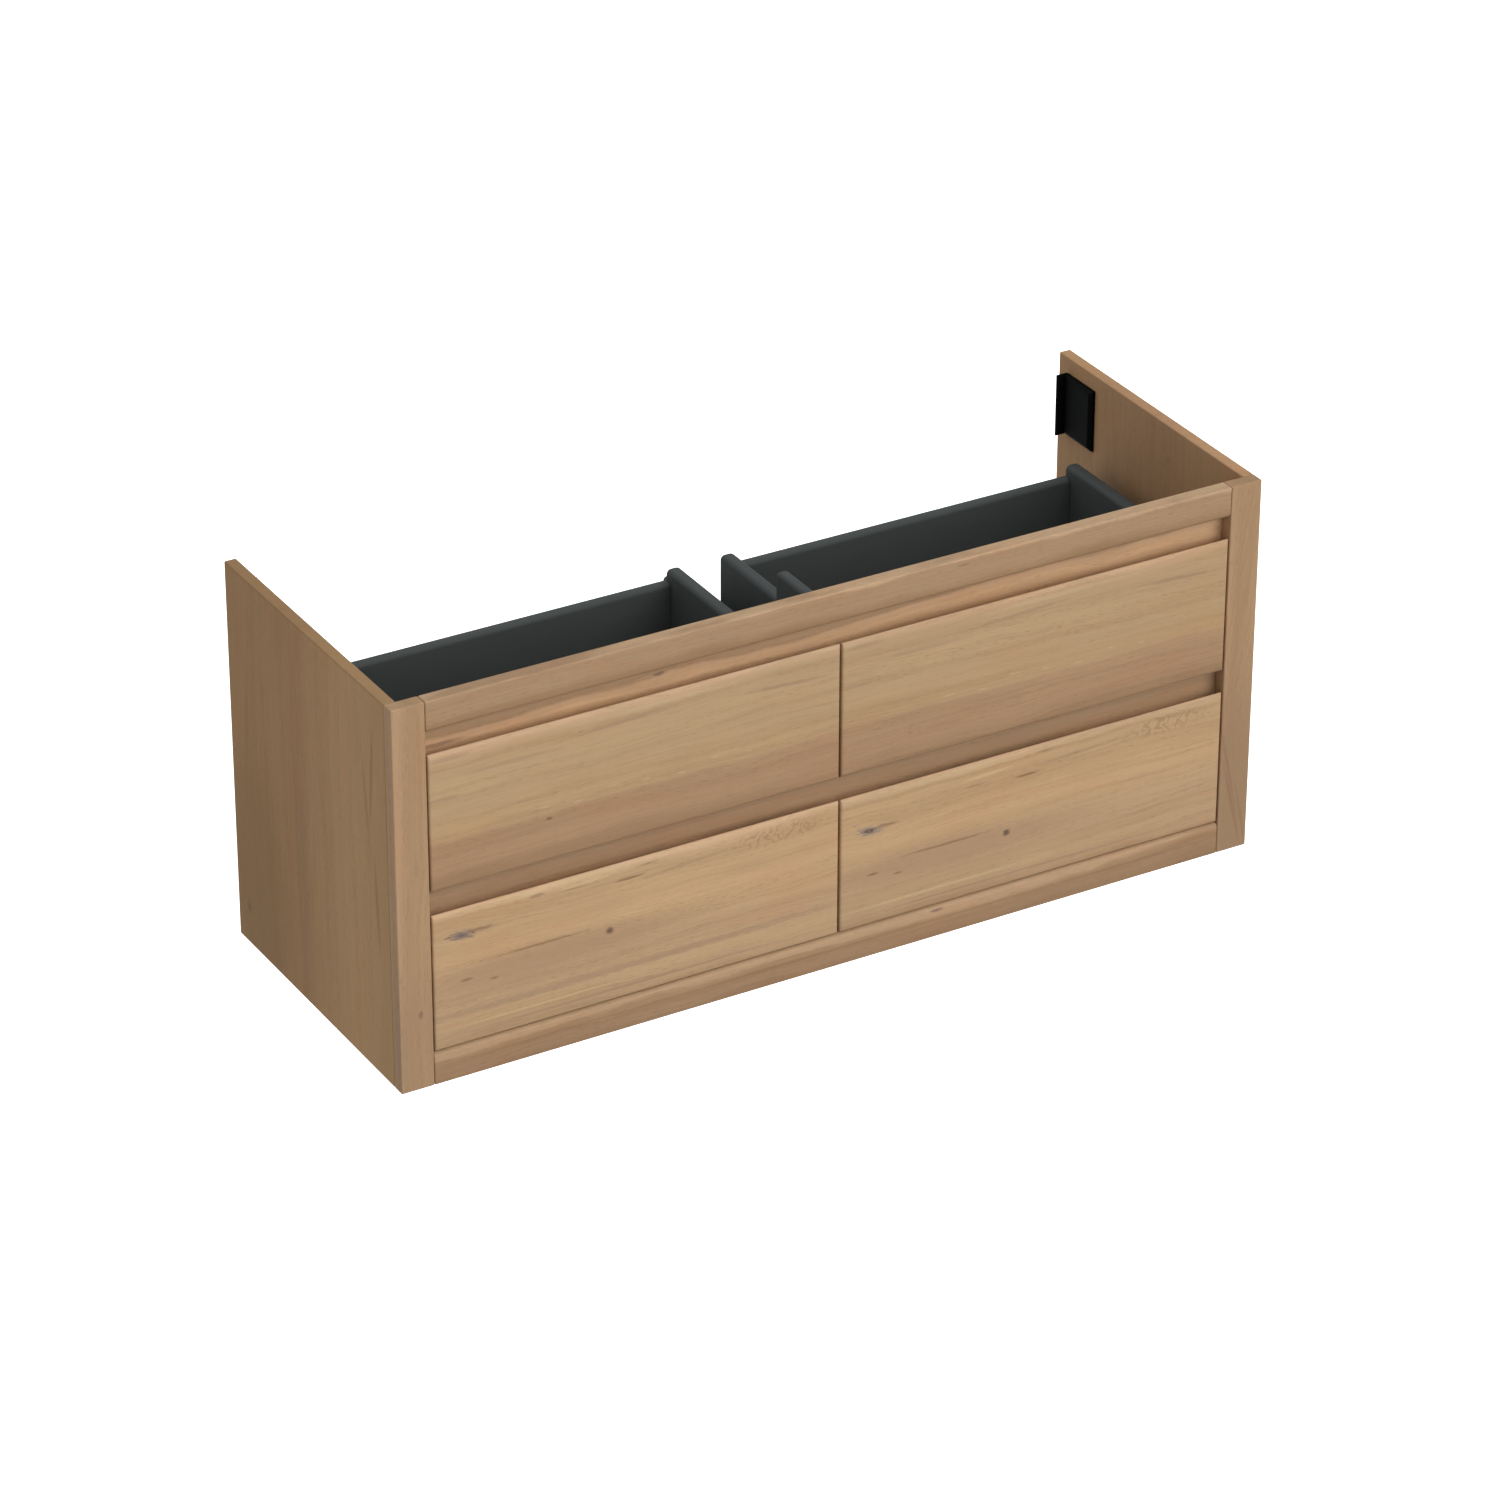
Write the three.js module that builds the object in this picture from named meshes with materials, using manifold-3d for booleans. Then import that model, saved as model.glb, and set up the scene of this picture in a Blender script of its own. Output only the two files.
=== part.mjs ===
// Wall-hung bathroom vanity cabinet with four drawers in two rows.
// Millimetres, +Z up, +X to the right, the drawers open towards -Y.
// The origin is at the middle of the footprint, on the underside of the cabinet.
import * as THREE from 'three';
import { mergeVertices } from 'three/addons/utils/BufferGeometryUtils.js';
import Module from 'manifold-3d';

const wasm = await Module();
wasm.setup();

// ---------------------------------------------------------------- driving dimensions

// overall
const width = 1200;
const depth = 436;
const height = 515;

// boards
const boardThickness = 16;        // side panels, partition, crossbars, rear brace, inner packers
const frameThickness = 19;        // stiles, rails and drawer fronts
const fit = 0.3;                  // gap between two pieces that touch

// face frame
const stileWidth = 44;
const topRailHeight = 41;
const bottomRailHeight = 43.5;
const gripGap = 30;               // open height above each row of fronts, for the fingers
const crossbarRise = 5;           // crossbar above the upper edge of its grip gap
const crossbarDrop = 25;          // crossbar below the lower edge of its grip gap

// drawer fronts
const frontCentreGap = 3;         // between the left and the right front
const frontSideGap = 2;           // between a front and its stile
const frontFootGap = 2.5;         // between the lower fronts and the bottom rail
const bevelFlat = 3;              // flat left on the upper edge of a front
const bevelHeight = 22;           // height of the finger bevel behind that edge

// drawer boxes
const sideThickness = 19;
const sideEdgeRadius = 9;         // rounded upper edges of the box sides
const sideEdgeLand = 1;           // least flat left between those two edges
const backThickness = 16;
const backDrop = 15;              // box back below the box sides
const bottomThickness = 8;
const bottomRecess = 10;          // underside of the bottom above the lower edge of the sides
const boxShortfall = 46.5;        // box side height below the front height
const boxStileClearance = 1;      // box inside the opening between the stiles
const rearSpace = 91;             // free depth behind the drawer boxes, for the pipes

// concealed runners, a fixed, a middle and a top member each
const steel = 1.5;                // sheet thickness
const runnerGap = 4.5;            // between a box side and the packer beside it
const runnerLift = 3;             // lower edge of the box sides above the fixed member's base
const runnerClearance = 0.5;      // fixed member's base above the crossbar below it
const runnerFrontSpace = 3;       // from the crossbar to the front end of the members
const runnerRearSpace = 7;        // from the rear end of the members to the end of the box
const flangeHeight = 24;          // screw flange against the packer
const trackWidth = 19;            // outside width of the channel in the fixed member
const trackHeight = 7;
const trackOffset = 2.5;          // from the inner face of the box side to that channel
const slideClearance = 1.2;       // between the members
const middleHeight = 7.5;
const topLegReach = 8.7;          // legs of the top member below its web

// centre partition
const partitionDrop = 35;         // top of its front part below the top of the cabinet
const partitionHeadDepth = 125;   // depth of its front part
const pipeNotchDrop = 165;        // top of its rear part below the top of the cabinet
const notchRadius = 12;

// packers, rear brace and hangers
const packerFoot = 20;
const packerHeadroom = 185;       // top of the packers below the top of the cabinet
const braceFoot = 20;
const braceHeight = 120;
const hangerSheet = 2;
const hangerDepth = 66;
const hangerHeight = 85;
const hangerDrop = 21;            // below the top of the cabinet
const hangerSetback = 20;         // rear flange in front of the back edges
const hangerFlange = 16.6;
const hangerHole = 6;
const hangerSlotWidth = 7;
const hangerSlotLength = 34;
const hangerHoleInset = 16;
const circleSegments = 24;

// ---------------------------------------------------------------- derived places

const front = -depth / 2;                        // front plane of the frame and the drawer fronts
const back = depth / 2;
const frameBack = front + frameThickness;
const behindFrame = frameBack + fit;
const sideInner = width / 2 - boardThickness;    // inner face of a side panel
const openingEdge = width / 2 - stileWidth;      // inner edge of a stile

const frontHeight =
  (height - topRailHeight - bottomRailHeight - frontFootGap - 2 * gripGap) / 2;
const lowerFrontZ = bottomRailHeight + frontFootGap;
const upperFrontZ = lowerFrontZ + frontHeight + gripGap;

const crossbarBack = behindFrame + boardThickness;
const crossbarHeight = crossbarDrop + gripGap + crossbarRise;
const middleCrossbarZ = lowerFrontZ + frontHeight - crossbarDrop;
const upperCrossbarZ = upperFrontZ + frontHeight - crossbarDrop;

const boxOuter = openingEdge - boxStileClearance;
const outerPackerFace = boxOuter + runnerGap;
const partitionFace = boardThickness / 2;
const innerPackerFace = partitionFace + fit + boardThickness;
const boxInner = innerPackerFace + runnerGap;

const sideHeight = frontHeight - boxShortfall;
const boxBack = back - rearSpace;
const runnerFront = crossbarBack + runnerFrontSpace;
const runnerBack = boxBack - runnerRearSpace;
const lowerRunnerZ = bottomRailHeight + 2 * runnerClearance;
const upperRunnerZ = middleCrossbarZ + crossbarHeight + runnerClearance;

// ---------------------------------------------------------------- materials

const oak = new THREE.MeshStandardMaterial({ color: 0xb4946c, roughness: 0.55, metalness: 0 });
const shadedOak = new THREE.MeshStandardMaterial({ color: 0x7a6146, roughness: 0.6, metalness: 0 });
const greyBoard = new THREE.MeshStandardMaterial({ color: 0x46494a, roughness: 0.65, metalness: 0 });
const blackSteel = new THREE.MeshStandardMaterial({ color: 0x0c0d0e, roughness: 0.4, metalness: 0.8 });
const zincSteel = new THREE.MeshStandardMaterial({ color: 0xaeb2b5, roughness: 0.35, metalness: 0.9 });

// ---------------------------------------------------------------- helpers

const cabinet = new THREE.Group();

function add(name, geometry, material, parent = cabinet) {
  const mesh = new THREE.Mesh(geometry, material);
  mesh.name = name;
  parent.add(mesh);
  return mesh;
}

// A board between two corners.
function board(name, [x0, x1], [y0, y1], [z0, z1], material, parent) {
  const geometry = new THREE.BoxGeometry(Math.abs(x1 - x0), y1 - y0, z1 - z0);
  const mesh = add(name, geometry, material, parent);
  mesh.position.set((x0 + x1) / 2, (y0 + y1) / 2, (z0 + z1) / 2);
  return mesh;
}

function extrude(shape, length) {
  return new THREE.ExtrudeGeometry(shape, { depth: length, bevelEnabled: false, curveSegments: 6 });
}

// A section drawn in X and Z, extruded along Y from y0 to y1.
function alongY(name, shape, [y0, y1], material, parent) {
  const mesh = add(name, extrude(shape, y1 - y0), material, parent);
  mesh.rotation.x = Math.PI / 2;
  mesh.position.y = y1;
  return mesh;
}

// A section drawn in Y and Z, extruded along X from x0 to x1.
function alongX(name, shape, [x0, x1], material, parent) {
  const mesh = add(name, extrude(shape, x1 - x0), material, parent);
  mesh.rotation.set(Math.PI / 2, Math.PI / 2, 0);
  mesh.position.x = x0;
  return mesh;
}

function polygon(points) {
  return new THREE.Shape(points.map(([x, y]) => new THREE.Vector2(x, y)));
}

// Points across the thickness of a piece, measured from a packer's face towards the drawer box,
// turned into X. inward is the direction in X from the packer to the box.
function fromPacker(face, inward, points) {
  const section = points.map(([u, z]) => [face + inward * u, z]);
  return polygon(inward > 0 ? section : section.reverse());
}

function toSolid(geometry) {
  const bare = geometry.clone();
  bare.deleteAttribute('normal');
  bare.deleteAttribute('uv');
  const merged = mergeVertices(bare, 1e-4);
  return new wasm.Manifold(new wasm.Mesh({
    numProp: 3,
    vertProperties: new Float32Array(merged.attributes.position.array),
    triVerts: new Uint32Array(merged.index.array),
  }));
}

function toGeometry(solid) {
  const mesh = solid.getMesh();
  const geometry = new THREE.BufferGeometry();
  geometry.setAttribute('position', new THREE.BufferAttribute(mesh.vertProperties, 3));
  geometry.setIndex(new THREE.BufferAttribute(mesh.triVerts, 1));
  geometry.computeVertexNormals();
  return geometry;
}

// ---------------------------------------------------------------- carcass

for (const [side, sign] of [['left', -1], ['right', 1]]) {
  board(`${side}_side_panel`,
    [sign * sideInner, sign * width / 2], [behindFrame, back], [0, height], oak);
  board(`${side}_stile`,
    [sign * openingEdge, sign * width / 2], [front, frameBack], [0, height], oak);
  board(`${side}_outer_packer`,
    [sign * outerPackerFace, sign * (sideInner - fit)], [behindFrame, boxBack],
    [packerFoot, height - packerHeadroom], greyBoard);
  board(`${side}_inner_packer`,
    [sign * (partitionFace + fit), sign * innerPackerFace], [crossbarBack + fit, boxBack],
    [packerFoot, height - packerHeadroom], greyBoard);
}

const railEnds = [-(openingEdge - fit), openingEdge - fit];
board('top_rail', railEnds, [front, frameBack], [height - topRailHeight, height], oak);
board('bottom_rail', railEnds, [front, frameBack], [0, bottomRailHeight], oak);

const crossbarEnds = [-(outerPackerFace - fit), outerPackerFace - fit];
const crossbarDepth = [behindFrame, crossbarBack];
board('upper_crossbar', crossbarEnds, crossbarDepth,
  [upperCrossbarZ, upperCrossbarZ + crossbarHeight], shadedOak);
board('middle_crossbar', crossbarEnds, crossbarDepth,
  [middleCrossbarZ, middleCrossbarZ + crossbarHeight], shadedOak);

board('rear_brace', [-(sideInner - fit), sideInner - fit], [back - boardThickness, back],
  [braceFoot, braceFoot + braceHeight], oak);

// The partition is notched round the crossbars, and low at the rear for the pipes.
function partitionSection() {
  const rear = back - boardThickness - fit;
  const headBack = behindFrame + partitionHeadDepth;
  const headTop = height - partitionDrop;
  const rearTop = height - pipeNotchDrop;
  const notched = crossbarBack + fit;
  const shape = new THREE.Shape();
  shape.moveTo(behindFrame, 0);
  shape.lineTo(rear, 0);
  shape.lineTo(rear, rearTop);
  shape.lineTo(headBack + notchRadius, rearTop);
  shape.absarc(headBack + notchRadius, rearTop + notchRadius, notchRadius,
    -Math.PI / 2, -Math.PI, true);
  shape.lineTo(headBack, headTop);
  shape.lineTo(notched, headTop);
  shape.lineTo(notched, upperCrossbarZ - fit);
  shape.lineTo(behindFrame, upperCrossbarZ - fit);
  shape.lineTo(behindFrame, middleCrossbarZ + crossbarHeight + fit);
  shape.lineTo(notched, middleCrossbarZ + crossbarHeight + fit);
  shape.lineTo(notched, middleCrossbarZ - fit);
  shape.lineTo(behindFrame, middleCrossbarZ - fit);
  shape.closePath();
  return shape;
}
alongX('centre_partition', partitionSection(), [-partitionFace, partitionFace], greyBoard);

// ---------------------------------------------------------------- hangers

// An angle screwed to the side panel, whose rear flange hooks over the wall fitting.
function hangerGeometry(sign) {
  const wall = sideInner - fit;
  const rear = back - hangerSetback;
  const frontEdge = rear - hangerDepth;
  const base = height - hangerDrop - hangerHeight;
  const outline = [
    [wall, frontEdge],
    [wall, rear],
    [wall - hangerFlange, rear],
    [wall - hangerFlange, rear - hangerSheet],
    [wall - hangerSheet, rear - hangerSheet],
    [wall - hangerSheet, frontEdge],
  ].map(([x, y]) => [sign * x, y]);
  const angle = extrude(polygon(sign > 0 ? outline : outline.reverse()), hangerHeight);
  angle.translate(0, 0, base);
  let solid = toSolid(angle);

  for (const z of [base + hangerHoleInset, base + hangerHeight - hangerHoleInset]) {
    for (const y of [frontEdge + hangerHoleInset, rear - hangerHoleInset]) {
      const drill = new THREE.CylinderGeometry(
        hangerHole / 2, hangerHole / 2, 4 * hangerSheet, circleSegments);
      drill.rotateZ(Math.PI / 2);
      drill.translate(sign * (wall - hangerSheet / 2), y, z);
      solid = solid.subtract(toSolid(drill));
    }
  }

  const half = (hangerSlotLength - hangerSlotWidth) / 2;
  const slot = new THREE.Shape();
  slot.absarc(0, half, hangerSlotWidth / 2, 0, Math.PI, false);
  slot.absarc(0, -half, hangerSlotWidth / 2, Math.PI, 2 * Math.PI, false);
  slot.closePath();
  const cutter = extrude(slot, 4 * hangerSheet);
  cutter.rotateX(Math.PI / 2);
  cutter.translate(sign * (wall - (hangerFlange + hangerSheet) / 2),
    rear + hangerSheet, base + hangerHeight / 2);
  return toGeometry(solid.subtract(toSolid(cutter)));
}
add('left_hanger', hangerGeometry(-1), blackSteel);
add('right_hanger', hangerGeometry(1), blackSteel);

// ---------------------------------------------------------------- drawers

// Front: a board whose upper rear edge is cut back so that fingers can hook over it.
function frontSection(z) {
  return polygon([
    [front, z],
    [frameBack, z],
    [frameBack, z + frontHeight - bevelHeight],
    [front + bevelFlat, z + frontHeight],
    [front, z + frontHeight],
  ]);
}

// Box side: a board with two rounded upper edges.
function sideSection(x0, z0) {
  const x1 = x0 + sideThickness;
  const z1 = z0 + sideHeight;
  const r = Math.min(sideEdgeRadius, (sideThickness - sideEdgeLand) / 2);
  const shape = new THREE.Shape();
  shape.moveTo(x0, z0);
  shape.lineTo(x1, z0);
  shape.lineTo(x1, z1 - r);
  shape.absarc(x1 - r, z1 - r, r, 0, Math.PI / 2, false);
  shape.lineTo(x0 + r, z1);
  shape.absarc(x0 + r, z1 - r, r, Math.PI / 2, Math.PI, false);
  shape.closePath();
  return shape;
}

// Sections of the three runner members, from the packer's face inwards and from the base up.
const trackStart = runnerGap + sideThickness + trackOffset;
const trackEnd = trackStart + trackWidth;
const recessTop = runnerLift + bottomRecess;
const fixedSection = [
  [fit, 0],
  [trackEnd, 0],
  [trackEnd, trackHeight],
  [trackEnd - steel, trackHeight],
  [trackEnd - steel, steel],
  [trackStart + steel, steel],
  [trackStart + steel, trackHeight],
  [trackStart, trackHeight],
  [trackStart, steel],
  [fit + steel, steel],
  [fit + steel, flangeHeight],
  [fit, flangeHeight],
];
const middleLeft = trackStart + steel + slideClearance;
const middleRight = trackEnd - steel - slideClearance;
const middleBase = steel + slideClearance;
const middleSection = [
  [middleLeft, middleBase],
  [middleRight, middleBase],
  [middleRight, middleBase + middleHeight],
  [middleRight - steel, middleBase + middleHeight],
  [middleRight - steel, middleBase + steel],
  [middleLeft + steel, middleBase + steel],
  [middleLeft + steel, middleBase + middleHeight],
  [middleLeft, middleBase + middleHeight],
];
const legGap = (trackOffset - steel) / 2;
const topLeft = trackStart - legGap - steel;
const topRight = trackEnd + legGap + steel;
const webTop = recessTop - fit;
const topSection = [
  [topLeft, webTop - topLegReach],
  [topLeft + steel, webTop - topLegReach],
  [topLeft + steel, webTop - steel],
  [topRight - steel, webTop - steel],
  [topRight - steel, webTop - topLegReach],
  [topRight, webTop - topLegReach],
  [topRight, webTop],
  [topLeft, webTop],
];

function runner(name, face, inward, base) {
  const run = [runnerFront, runnerBack];
  const sections = { fixed: fixedSection, middle: middleSection, top: topSection };
  for (const [member, points] of Object.entries(sections)) {
    const raised = points.map(([u, z]) => [u, base + z]);
    alongY(`${name}_runner_${member}`, fromPacker(face, inward, raised), run, zincSteel);
  }
}

function drawer(row, side, sign, frontZ, runnerZ) {
  const name = `${row}_${side}_drawer`;
  const sorted = (a, b) => [Math.min(sign * a, sign * b), Math.max(sign * a, sign * b)];
  const sideZ = runnerZ + runnerLift;
  const boxLength = [behindFrame, boxBack];

  alongX(`${name}_front`, frontSection(frontZ),
    sorted(frontCentreGap / 2, openingEdge - frontSideGap), oak);

  const [outerSide, innerSide] = sign > 0 ? ['right', 'left'] : ['left', 'right'];
  alongY(`${name}_${outerSide}_side`,
    sideSection(sorted(boxOuter - sideThickness, boxOuter)[0], sideZ), boxLength, greyBoard);
  alongY(`${name}_${innerSide}_side`,
    sideSection(sorted(boxInner, boxInner + sideThickness)[0], sideZ), boxLength, greyBoard);

  const between = sorted(boxInner + sideThickness + fit, boxOuter - sideThickness - fit);
  const bottomZ = sideZ + bottomRecess;
  const bottomTop = bottomZ + bottomThickness;
  board(`${name}_bottom`, between, boxLength, [bottomZ, bottomTop], greyBoard);
  board(`${name}_back`, between, [boxBack - backThickness, boxBack],
    [bottomTop + fit, sideZ + sideHeight - backDrop], greyBoard);

  runner(`${name}_${outerSide}`, sign * outerPackerFace, -sign, runnerZ);
  runner(`${name}_${innerSide}`, sign * innerPackerFace, sign, runnerZ);
}

for (const [side, sign] of [['left', -1], ['right', 1]]) {
  drawer('upper', side, sign, upperFrontZ, upperRunnerZ);
  drawer('lower', side, sign, lowerFrontZ, lowerRunnerZ);
}

export default cabinet;
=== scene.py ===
"""Looks of a wall-hung bathroom vanity cabinet: oak face frame, four drawers on concealed runners, open top.

Metres, +Z up, the drawers open towards -Y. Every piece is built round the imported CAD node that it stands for.
"""

import math

import bmesh
import bpy
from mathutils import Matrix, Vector


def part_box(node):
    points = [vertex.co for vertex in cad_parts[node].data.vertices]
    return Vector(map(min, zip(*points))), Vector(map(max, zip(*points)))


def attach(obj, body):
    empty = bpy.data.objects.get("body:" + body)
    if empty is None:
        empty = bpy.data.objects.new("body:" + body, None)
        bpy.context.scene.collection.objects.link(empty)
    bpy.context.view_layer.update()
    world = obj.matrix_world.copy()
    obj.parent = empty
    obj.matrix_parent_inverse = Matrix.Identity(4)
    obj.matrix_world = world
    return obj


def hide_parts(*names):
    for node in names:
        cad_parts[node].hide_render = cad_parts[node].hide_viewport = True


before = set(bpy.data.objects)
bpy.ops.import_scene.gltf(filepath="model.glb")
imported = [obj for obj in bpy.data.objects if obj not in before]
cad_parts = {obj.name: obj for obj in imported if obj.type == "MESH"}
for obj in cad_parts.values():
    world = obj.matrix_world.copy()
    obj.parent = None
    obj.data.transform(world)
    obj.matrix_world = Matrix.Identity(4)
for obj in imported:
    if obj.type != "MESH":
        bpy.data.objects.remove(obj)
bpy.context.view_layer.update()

MM = 0.001
X, Y, Z = 0, 1, 2
SIDES = {"left": -1, "right": 1}
DRAWERS = [(row, side) for row in ("upper", "lower") for side in SIDES]


# ---------------------------------------------- camera and studio

# Pinhole view from the front left and above.
CAMERA_PLACE = (-3.3028, -5.6908, 3.8103)
CAMERA_AZIMUTH = -30.135
CAMERA_ELEVATION = 28.774
CAMERA_ROLL = 0.118
CAMERA_LENS = 145.8

FLOOR_DROP = 0.33        # the cabinet hangs on a wall, this far above the floor
FLOOR_REACH = 60
AMBIENT = 0.50           # light from all round

# Two soft lights: strength, direction towards the light, and width in degrees.
LIGHTS = {
    "key": (1.65, Vector((0.40, -0.86, 0.30)), 50),
    "top": (0.6, Vector((0.12, -0.15, 0.98)), 100),
}


def set_camera():
    data = bpy.data.cameras.new("camera")
    data.sensor_fit = "HORIZONTAL"
    data.sensor_width = 36
    data.lens = CAMERA_LENS
    data.clip_end = 200
    camera = bpy.data.objects.new("camera", data)
    bpy.context.scene.collection.objects.link(camera)
    camera.location = CAMERA_PLACE
    camera.rotation_euler = (
        math.radians(90 - CAMERA_ELEVATION), 0, math.radians(CAMERA_AZIMUTH))
    camera.rotation_euler.rotate_axis("Z", math.radians(CAMERA_ROLL))
    bpy.context.scene.camera = camera


def set_light():
    world = bpy.data.worlds.new("studio")
    world.use_nodes = True
    bpy.context.scene.world = world
    background = world.node_tree.nodes["Background"]
    background.inputs["Color"].default_value = (1, 1, 1, 1)
    background.inputs["Strength"].default_value = AMBIENT
    for name, (strength, direction, width) in LIGHTS.items():
        lamp = bpy.data.objects.new(name, bpy.data.lights.new(name, "SUN"))
        bpy.context.scene.collection.objects.link(lamp)
        lamp.data.energy = strength
        lamp.data.angle = math.radians(width)
        lamp.rotation_euler = direction.to_track_quat("Z", "Y").to_euler()


def set_floor():
    mesh = bpy.data.meshes.new("floor")
    corners = [(sx * FLOOR_REACH, sy * FLOOR_REACH, -FLOOR_DROP)
               for sx, sy in ((-1, -1), (1, -1), (1, 1), (-1, 1))]
    mesh.from_pydata(corners, [], [(0, 1, 2, 3)])
    floor = bpy.data.objects.new("floor", mesh)
    bpy.context.scene.collection.objects.link(floor)
    pale = bpy.data.materials.new("pale_floor")
    pale.use_nodes = True
    shader = pale.node_tree.nodes["Principled BSDF"]
    shader.inputs["Base Color"].default_value = (0.9, 0.9, 0.9, 1)
    shader.inputs["Roughness"].default_value = 0.9
    shader.inputs["Emission Color"].default_value = (1, 1, 1, 1)
    shader.inputs["Emission Strength"].default_value = 1
    mesh.materials.append(pale)
    floor.visible_diffuse = False
    floor.visible_glossy = False


bpy.context.scene.view_settings.view_transform = "Standard"
set_camera()
set_light()
set_floor()


# ---------------------------------------------- node helpers

def tone(red, green, blue):
    """A colour named by its screen values, as the linear colour that a shader takes."""
    def linear(value):
        share = value / 255
        return share / 12.92 if share <= 0.04045 else ((share + 0.055) / 1.055) ** 2.4
    return (linear(red), linear(green), linear(blue), 1)


class Graph:
    """Short names for the few shader nodes that the materials are made of."""

    def __init__(self, name):
        self.material = bpy.data.materials.new(name)
        self.material.use_nodes = True
        self.tree = self.material.node_tree
        self.shader = self.tree.nodes["Principled BSDF"]

    def add(self, kind, values=(), out=0, **settings):
        node = self.tree.nodes.new(kind)
        for key, value in settings.items():
            setattr(node, key, value)
        for key, value in dict(values).items():
            self.put(node.inputs[key], value)
        return node.outputs[out]

    def put(self, socket, value):
        if isinstance(value, bpy.types.NodeSocket):
            self.tree.links.new(value, socket)
        else:
            socket.default_value = value

    def math(self, operation, first, second=0.0, third=0.0):
        values = {0: first, 1: second}
        if operation == "MULTIPLY_ADD":
            values[2] = third
        return self.add("ShaderNodeMath", values, operation=operation)

    def plus(self, first, second):
        return self.math("ADD", first, second)

    def minus(self, first, second):
        return self.math("SUBTRACT", first, second)

    def times(self, first, second):
        return self.math("MULTIPLY", first, second)

    def vector(self, x, y, z):
        return self.add("ShaderNodeCombineXYZ", {0: x, 1: y, 2: z})

    def scaled(self, vector, factors):
        return self.add("ShaderNodeVectorMath", {0: vector, 1: factors}, operation="MULTIPLY")

    def noise(self, vector, detail=2.0, rough=0.5):
        values = {"Vector": vector, "Scale": 1.0, "Detail": detail, "Roughness": rough}
        return self.add("ShaderNodeTexNoise", values)

    def range(self, value, low, high, to_low=0.0, to_high=1.0):
        values = {"Value": value, "From Min": low, "From Max": high,
                  "To Min": to_low, "To Max": to_high}
        return self.add("ShaderNodeMapRange", values, interpolation_type="SMOOTHSTEP")

    def blend(self, share, first, second, mode="MIX"):
        node = self.tree.nodes.new("ShaderNodeMix")
        node.data_type = "RGBA"
        node.blend_type = mode
        self.put(node.inputs[0], share)
        self.put(node.inputs[6], first)
        self.put(node.inputs[7], second)
        return node.outputs[2]

    def ramp(self, share, stops):
        node = self.tree.nodes.new("ShaderNodeValToRGB")
        node.color_ramp.interpolation = "EASE"
        elements = node.color_ramp.elements
        while len(elements) < len(stops):
            elements.new(0.5)
        for element, (place, colour) in zip(elements, stops):
            element.position = place
            element.color = colour
        self.put(node.inputs[0], share)
        return node.outputs[0]

    def place(self):
        """X, Y and Z in the cabinet's frame, fixed to the piece."""
        coordinates = self.add("ShaderNodeTexCoord", out="Object")
        split = self.tree.nodes.new("ShaderNodeSeparateXYZ")
        self.put(split.inputs[0], coordinates)
        return split.outputs

    def bump(self, height, depth, strength=1.0):
        values = {"Height": height, "Distance": depth, "Strength": strength}
        self.put(self.shader.inputs["Normal"], self.add("ShaderNodeBump", values))


# ---------------------------------------------- oak

KNOT_GREY = tone(116, 104, 98)
KNOT_BROWN = tone(108, 74, 58)
STREAK = tone(132, 98, 72)
SMUDGE = tone(150, 122, 98)
FLECK = tone(206, 180, 138)

CURL_PITCH = 14 * MM         # of the curly figure
PULL_LONG = 2.4              # how far the fibres swing round a knot, in its half sizes
PULL_HIGH = 3.2
PITH_DEPTH = 0.055           # the growth rings run round a pith this far behind the board's face
PITH_SIDE = 0.03             # and at least this far beside its edge


def oak_mark(g, along, below, rough, mark):
    """Share from 0 to 1 of an elongated spot in the wood. Places and half sizes are in millimetres."""
    (at_along, at_below), (half_long, half_high) = mark["at"], mark["half"]
    beside = g.minus(along, at_along * MM)
    under = g.minus(below, at_below * MM)
    if mark.get("tilt"):
        under = g.minus(under, g.times(beside, mark["tilt"]))
    u = g.math("DIVIDE", beside, half_long * MM)
    v = g.math("DIVIDE", under, half_high * MM)
    distance = g.math("SQRT", g.plus(g.times(u, u), g.times(v, v)))
    uneven = g.math("MULTIPLY_ADD", rough, mark.get("ragged", 0.9), distance)
    return g.range(uneven, mark.get("edge", 1.0) + 0.45, 0.45), distance


def oak_place(g, node, along_axis, across_axis):
    """Distances along, across and through a board. Those across start at its upper, left or front edge."""
    place = g.place()
    low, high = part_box(node)
    through_axis = 3 - along_axis - across_axis
    if along_axis == X:
        along = g.minus(place[X], low[X])
        below = g.minus(high[Z], place[Z])
    else:
        along = g.minus(high[Z], place[Z])
        below = g.minus(place[across_axis], low[across_axis])
    through = g.minus(place[through_axis], low[through_axis])
    return along, below, through, (high - low)[across_axis]


def bent_round_knots(g, along, below, marks):
    """Distance across the board, pushed aside where fibres run round a knot."""
    bent = below
    for mark in marks:
        if mark.get("bends"):
            (at_along, at_below), (half_long, half_high) = mark["at"], mark["half"]
            beside = g.minus(below, at_below * MM)
            u = g.math("DIVIDE", g.minus(along, at_along * MM), PULL_LONG * half_long * MM)
            v = g.math("DIVIDE", beside, PULL_HIGH * half_high * MM)
            near = g.math("POWER", math.e, g.times(g.plus(g.times(u, u), g.times(v, v)), -1.0))
            bent = g.plus(bent, g.times(g.times(beside, near), -mark["bends"]))
    return bent


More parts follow.
